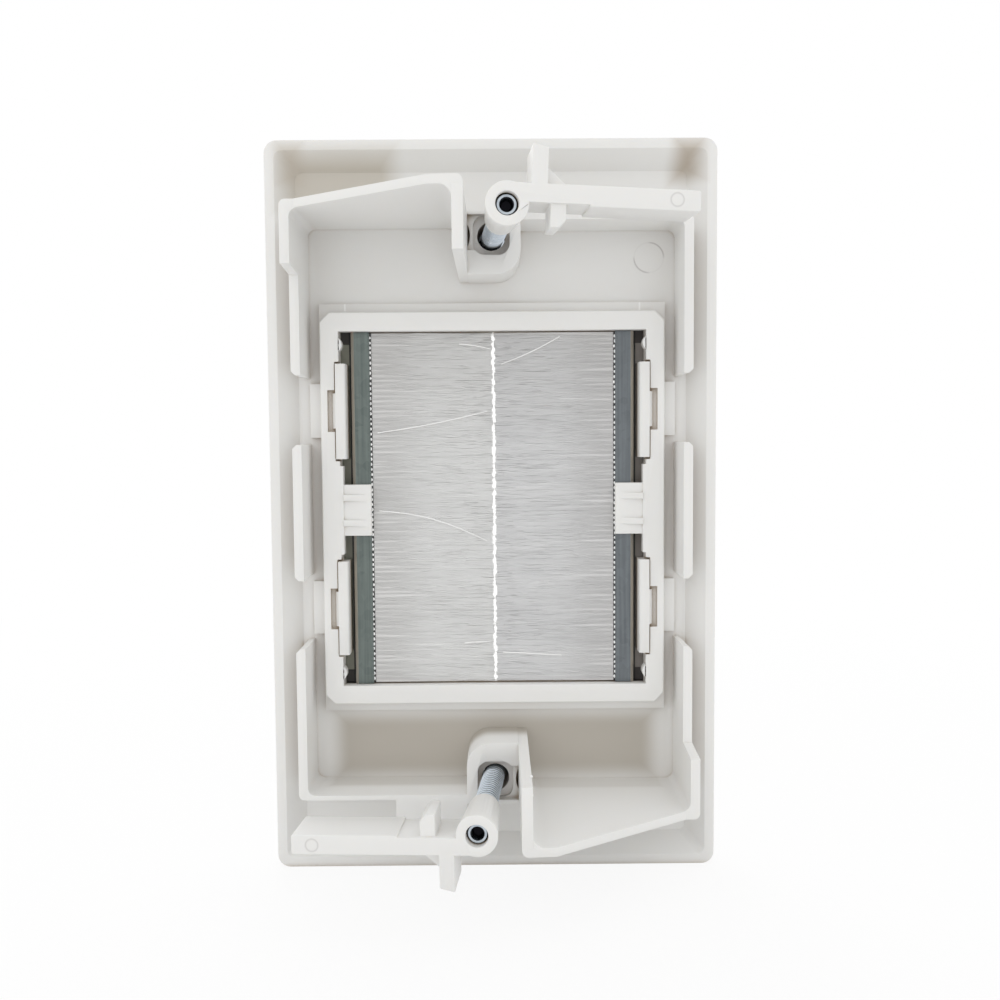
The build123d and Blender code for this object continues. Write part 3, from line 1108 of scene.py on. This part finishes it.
        # The tuft heads carry a painted glow.
        finish = self.glow_finish("tuft", 0.93, 0.75)
        piece = finish_mesh(bm, "tufts_" + self.word(), finish, SMOOTH_BELOW["tuft"])
        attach(piece, "plate")
        return report(piece)

    def build(self) -> None:
        """Builds and dresses every piece of the brush."""
        word = self.word()
        dress("channel_" + word, self.sheet.build())
        dress("core_wire_" + word, ZincPlate("core_wire_finish_" + word, roughness=0.35).build())
        finish = BrushFilament("filament_finish_" + word, self.filament_colour, self.filament_shade)
        self.filaments(finish.build())
        self.loose()
        self.tufts()


@dataclass
class LongScrew:
    """An oval-head machine screw with its thread, slot and cupped tip.

    Attributes:
        end: Which screw.
        lean: The slope of its axis in u and v.
        finish: Its plating.
        spread: Half the distance between the screws, in millimetres.
        pivot: The level at which its axis crosses the hole's, as w.
        face: The plate's face, as w.
        proud: How far the head's rim stands in front of the face.
        length: From the head's rim to the tip.
        head_radius: The head's radius.
        dome: The height of the head's oval top.
        cone: The depth of the head's underside.
        root_radius: The thread's root radius.
        crest_radius: The thread's crest radius.
        pitch: The thread's pitch.
        slot_width: The width of the slot.
        slot_depth: Its depth below the top of the dome.
        steps: Facets round the thread.
        taper: The length of the tapered end.
        cup_steps: The insets of the end and how deep each goes.
    """

    end: End
    lean: tuple[float, float]
    finish: ZincPlate
    spread: float = 41.75
    pivot: float = -0.4
    face: float = -5.8
    proud: float = 0.4
    length: float = 31.75
    head_radius: float = 3.35
    dome: float = 1.25
    cone: float = 2.0
    root_radius: float = 1.29
    crest_radius: float = 1.70
    pitch: float = 0.794
    slot_width: float = 1.1
    slot_depth: float = 1.3
    steps: int = 32
    taper: float = 0.55
    cup_steps: tuple[tuple[float, float], ...] = ((0.30, 0.0), (0.12, -0.45), (0.25, -0.55))

    def place(self) -> Matrix:
        """The matrix from the screw's own axis, in millimetres, to the part's frame in metres.

        Returns:
            The matrix.
        """
        axis = behind(self.lean[0], self.lean[1], 1.0).normalized()
        across = behind(1.0, 0.0, 0.0)
        across = (across - axis * across.dot(axis)).normalized()
        turn = Matrix((across, axis.cross(across), axis)).transposed().to_4x4()
        seat = Matrix.Translation(behind(0.0, self.end.value * self.spread, self.pivot))
        start = Matrix.Translation(Vector((0.0, 0.0, (self.face - self.proud - self.pivot) * MM)))
        return seat @ turn @ start @ Matrix.Scale(MM, 4)

    def thread(self) -> bmesh.types.BMesh:
        """Winds the thread from one pitch of its profile and closes its ends.

        Returns:
            The threaded shank along z, in millimetres.
        """
        bm = bmesh.new()
        root, crest = self.root_radius, self.crest_radius
        profile = ((root, 0.0), (root, 0.10), (crest, 0.44), (crest, 0.60), (root, 0.94), (root, 1.0))
        turns = int(self.length / self.pitch) + 2
        bmesh.ops.spin(
            bm,
            geom=draw_profile(bm, [(radius, share * self.pitch) for radius, share in profile]),
            cent=ORIGIN,
            axis=(0.0, 0.0, 1.0),
            dvec=(0.0, 0.0, self.pitch / self.steps),
            angle=2.0 * math.pi * turns,
            steps=self.steps * turns,
            use_merge=False,
        )
        bmesh.ops.remove_doubles(bm, verts=bm.verts, dist=1e-4)
        bmesh.ops.translate(bm, verts=bm.verts, vec=(0.0, 0.0, -self.pitch / 2))
        cut_away(bm, Vector((0.0, 0.0, self.cone * 0.8)), Vector((0.0, 0.0, -1.0)))
        cut_away(bm, Vector((0.0, 0.0, self.length)), Vector((0.0, 0.0, 1.0)))
        close_holes(bm)
        bmesh.ops.recalc_face_normals(bm, faces=bm.faces)
        self.cup(bm)
        return bm

    def cup(self, bm: bmesh.types.BMesh) -> None:
        """Tapers the shank's end and sinks a cup into it.

        Args:
            bm: The threaded shank.
        """
        for vert in bm.verts:
            near = vert.co.z - (self.length - self.taper)
            if near > 0.0:
                radius = math.hypot(vert.co.x, vert.co.y)
                limit = self.crest_radius - near * 0.75
                if radius > limit:
                    vert.co.x *= limit / radius
                    vert.co.y *= limit / radius
        cap = max(bm.faces, key=lambda face: face.calc_center_median().z)
        for thickness, depth in self.cup_steps:
            bmesh.ops.inset_region(bm, faces=[cap], thickness=thickness, depth=0.0)
            bmesh.ops.translate(bm, verts=cap.verts, vec=(0.0, 0.0, depth))

    def head(self) -> Piece:
        """Turns the head from its profile and cuts its slot.

        Returns:
            The head along z, in millimetres, as a loose object.
        """
        bm = bmesh.new()
        sphere = (self.head_radius**2 + self.dome**2) / (2.0 * self.dome)
        points = []
        for step in range(9):
            angle = math.asin(self.head_radius / sphere) * step / 8
            points.append((sphere * math.sin(angle), sphere - self.dome - sphere * math.cos(angle)))
        points += [
            (self.head_radius, 0.15),
            (self.root_radius + 0.2, 0.15 + self.cone),
            (self.root_radius + 0.1, self.cone + 0.9),
            (0.0, self.cone + 0.9),
        ]
        bmesh.ops.spin(
            bm,
            geom=draw_profile(bm, points),
            cent=ORIGIN,
            axis=(0.0, 0.0, 1.0),
            angle=2.0 * math.pi,
            steps=64,
            use_merge=True,
        )
        bmesh.ops.remove_doubles(bm, verts=bm.verts, dist=1e-4)
        bmesh.ops.recalc_face_normals(bm, faces=bm.faces)
        place = self.place()
        axis = (place.to_3x3() @ Vector((0.0, 0.0, 1.0))).normalized()
        material = self.finish.build(place.translation, axis)
        head = finish_mesh(bm, "screw_head_blank", material, SMOOTH_BELOW["screw"])
        cutter = bmesh.new()
        size = Vector((3.0 * self.head_radius, self.slot_width, 2.0 * self.slot_depth))
        matrix = Matrix.Translation((0.0, 0.0, -self.dome)) @ Matrix.Diagonal((*size, 1.0))
        bmesh.ops.create_cube(cutter, size=1.0, matrix=matrix)
        tool = finish_mesh(cutter, "screw_slot_blank", material, SMOOTH_BELOW["screw"])
        cut = head.modifiers.new("slot", "BOOLEAN")
        cut.object = tool
        cut.operation = "DIFFERENCE"
        mesh = evaluated_mesh(head)
        head.modifiers.clear()
        head.data = mesh
        bpy.data.objects.remove(tool)
        return head

    def build(self) -> Piece:
        """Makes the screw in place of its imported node.

        Returns:
            The piece.
        """
        word = self.end.name.lower()
        bm = self.thread()
        head = self.head()
        bm.from_mesh(head.data)
        material = head.data.materials[0]
        bpy.data.objects.remove(head)
        bmesh.ops.transform(bm, matrix=self.place(), verts=bm.verts)
        piece = finish_mesh(bm, "threaded_screw_" + word, material, SMOOTH_BELOW["screw"])
        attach(piece, word + "_screw")
        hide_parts("screw_" + word)
        return report(piece)


@dataclass
class Softbox:
    """A soft white studio lamp that looks at the plate.

    Attributes:
        name: The lamp's name.
        place: Where it stands, in metres.
        size: Its width in metres.
        power: Its power in watts.
    """

    name: str
    place: Triple
    size: float
    power: float

    def build(self) -> None:
        """Adds the lamp."""
        data = bpy.data.lights.new(self.name, "AREA")
        data.shape = "DISK"
        data.size = self.size
        data.energy = self.power
        lamp = add_object(self.name, data)
        lamp.location = self.place
        lamp.rotation_euler = (-Vector(self.place)).to_track_quat("-Z", "Y").to_euler()
        LOG.info("%s: lamp", self.name)


@dataclass
class Studio:
    """Pale floor, even surroundings, lamps and the photograph's camera.

    Attributes:
        lamps: The lamps.
        floor_level: The floor's height in millimetres.
        floor_radius: The floor's radius in metres.
        ambient: The strength of the even surroundings.
        eye: The camera's place as u, v, w in millimetres.
        right: The camera's right in the part's frame.
        up: The camera's up.
        lens: Its focal length in millimetres.
        sensor: The width of its sensor in millimetres.
    """

    lamps: list[Softbox] = field(default_factory=list)
    floor_level: float = -57.2
    floor_radius: float = 2.5
    ambient: float = 0.98
    eye: Triple = (0.46, 10.93, 156.8)
    right: Triple = (-0.99996407, 0.00416687, -0.00738217)
    up: Triple = (-0.0076185, -0.05988322, 0.99817632)
    lens: float = 36.0
    sensor: float = 36.0

    def floor(self) -> None:
        """Lays the floor under the plate's lower edge."""
        bm = bmesh.new()
        bmesh.ops.create_circle(bm, cap_ends=True, segments=64, radius=self.floor_radius)
        bmesh.ops.translate(bm, verts=bm.verts, vec=(0.0, 0.0, self.floor_level * MM))
        piece = finish_mesh(bm, "studio_floor", PaleStage("pale_floor").build(), SMOOTH_BELOW["floor"])

    def surroundings(self) -> None:
        """Sets even pale light all round, white where the camera looks."""
        world = bpy.data.worlds.new("pale_room")
        bpy.context.scene.world = world
        world.use_nodes = True
        graph = NodeGraph(world.node_tree)
        rays = graph.add("LightPath").outputs
        seen = graph.maths("MAXIMUM", rays["Is Camera Ray"], rays["Is Transmission Ray"])
        strength = graph.maths("MULTIPLY_ADD", seen, 1.0 - self.ambient, self.ambient)
        back = graph.add("Background", {"Color": WHITE, "Strength": strength})
        graph.add("OutputWorld", {"Surface": back.outputs["Background"]})

    def camera(self) -> None:
        """Stands the camera where the photograph was taken from."""
        data = bpy.data.cameras.new("photo_camera")
        data.lens = self.lens
        data.sensor_width = self.sensor
        data.clip_start = 0.005
        data.clip_end = 20.0
        holder = add_object("photo_camera", data)
        right = Vector(self.right)
        up = Vector(self.up)
        matrix = Matrix((right, up, right.cross(up))).transposed().to_4x4()
        matrix.translation = behind(*self.eye)
        holder.matrix_world = matrix
        bpy.context.scene.camera = holder

    def build(self) -> None:
        """Builds the floor, surroundings, lamps and camera."""
        self.floor()
        self.surroundings()
        for lamp in self.lamps:
            lamp.build()
        self.camera()
        bpy.context.scene.view_settings.view_transform = "Standard"


def plate_shades() -> tuple[ShadeBox, ...]:
    """Lists the stretches of painted shade on the plate, its dish and then its pocket from the strips
    inwards, with two small patches of painted light.

    Returns:
        The boxes, in the order in which they are laid on.
    """
    gap_shade = (0.012, 0.013, 0.012, 1.0)
    pale = (0.97, 0.97, 0.955, 1.0)
    strip = (0.95, 28.6, 0.85)
    tongue = (0.95, 26.3, 0.85)
    return (
        # Painted shadow on the lower floor, and painted shade in the dish's upper corners.
        ShadeBox((0.0, -38.6, -3.5), (25.5, 5.0, 3.0), (0.50, 0.465, 0.41, 1.0), 2.0),
        ShadeBox((-24.0, 51.5, -1.0), (8.0, 3.5, 4.0), (0.55, 0.505, 0.43, 1.0), 3.0),
        ShadeBox((30.6, 54.2, -1.5), (1.8, 2.4, 4.0), (0.50, 0.44, 0.37, 1.0), 2.0),
        ShadeBox((-31.0, 53.8, -1.5), (1.2, 2.2, 4.0), (0.58, 0.53, 0.46, 1.0), 2.0),
        # Painted shade in the pocket beside the strips.
        ShadeBox((-23.2, 0.0, -4.4), strip, (0.05, 0.045, 0.038, 1.0)),
        ShadeBox((23.2, 0.0, -4.4), strip, (0.055, 0.046, 0.042, 1.0)),
        ShadeBox((-23.4, 0.0, -4.4), tongue, (0.36, 0.365, 0.30, 1.0)),
        ShadeBox((23.4, 0.0, -4.4), tongue, (0.36, 0.33, 0.305, 1.0)),
        # Two small patches of painted light at the strips' upper ends.
        ShadeBox((-23.2, 32.0, -3.0), (0.12, 0.6, 1.0), pale),
        ShadeBox((23.3, 31.9, -3.0), (0.12, 0.6, 1.0), pale),
        # Painted near-black shade in the crevices beside the channels.
        ShadeBox((-22.4, 0.0, -4.4), (0.55, 28.4, 0.85), gap_shade),
        ShadeBox((22.4, 0.0, -4.4), (0.55, 28.4, 0.85), gap_shade),
    )


def mouldings() -> list[Moulding]:
    """Lists the four moulded pieces with their finishes.

    Returns:
        The mouldings.
    """
    plate_marks = (PinMark((24.94, 39.64, -3.8), 2.35, 0.55, 0.12),)
    top_marks = (PinMark((24.36, 42.0, 24.6), 0.86, 0.3),)
    low_marks = (PinMark((-24.92, -43.68, 24.4), 0.86, 0.3),)
    plate = MouldedPlastic("plate_plastic", marks=plate_marks, shades=plate_shades())
    insert = MouldedPlastic("insert_plastic", reach=5.0)
    top = MouldedPlastic("top_clamp_plastic", reach=4.0, marks=top_marks)
    low = MouldedPlastic("bottom_clamp_plastic", reach=4.0, marks=low_marks)
    return [
        Moulding("wall_plate", "plate", "white_plastic", plate, 0.13, "moulded_plate"),
        Moulding("insert_frame", "plate", "white_plastic", insert, 0.1, "moulded_insert"),
        Moulding("clamp_top", "top_clamp", "white_plastic", top, 0.14, "moulded_clamp_top"),
        Moulding("clamp_bottom", "bottom_clamp", "white_plastic", low, 0.14, "moulded_clamp_bottom"),
    ]


def brushes() -> list[BrushStrip]:
    """Lists the two brushes.

    Returns:
        The brushes.
    """
    left_greys = ((0.105, 0.128, 0.12, 1.0), (0.22, 0.255, 0.24, 1.0))
    right_greys = ((0.12, 0.132, 0.142, 1.0), (0.23, 0.255, 0.27, 1.0))
    left_sheet = GalvanisedSheet("channel_finish_left", *left_greys)
    right_sheet = GalvanisedSheet("channel_finish_right", *right_greys)
    left_strays = (
        (-18.2, -0.2, -1.06, -5.14, 1.1),
        (-18.3, 12.2, -0.9, 15.5, -0.3),
        (-5.2, 26.1, -0.34, 25.3, 0.1),
        (-4.8, -21.6, -0.4, -21.35, 0.1),
    )
    right_strays = ((10.7, 27.2, 1.4, 22.9, -0.3), (1.4, -23.15, 10.8, -23.7, 0.1))
    left_colours = ((0.95, 0.95, 0.94, 1.0), (0.86, 0.86, 0.85, 1.0))
    # The right brush's filaments are a painted shaded copy of the left's, darker where they take less
    # light.
    right_shaded_colours = ((0.91, 0.91, 0.91, 1.0), (0.77, 0.77, 0.775, 1.0))
    return [
        BrushStrip(Side.LEFT, *left_colours, left_sheet, 0.1, left_strays, 11),
        BrushStrip(Side.RIGHT, *right_shaded_colours, right_sheet, 0.25, right_strays, 23),
    ]


def main() -> None:
    """Builds every piece in order."""
    logging.basicConfig(level=logging.INFO, format="%(name)s: %(message)s")
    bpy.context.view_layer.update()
    key = Softbox("key_lamp", (-0.06, 0.46, -0.36), 0.36, 1.5)
    fill = Softbox("fill_lamp", (0.25, 0.50, 0.25), 0.4, 0.15)
    front = Softbox("front_lamp", (0.20, -0.60, 0.35), 0.6, 0.8)
    Studio([key, fill, front]).build()
    for moulding in mouldings():
        moulding.build()
    MouldingTrim(MouldedPlastic("trim_plastic", reach=5.0)).build()
    for brush in brushes():
        brush.build()
    LongScrew(End.TOP, (0.0807, -0.0167), ZincPlate("zinc_finish_top")).build()
    LongScrew(End.BOTTOM, (-0.0929, -0.002), ZincPlate("zinc_finish_bottom")).build()


if __name__ == "__main__":
    main()
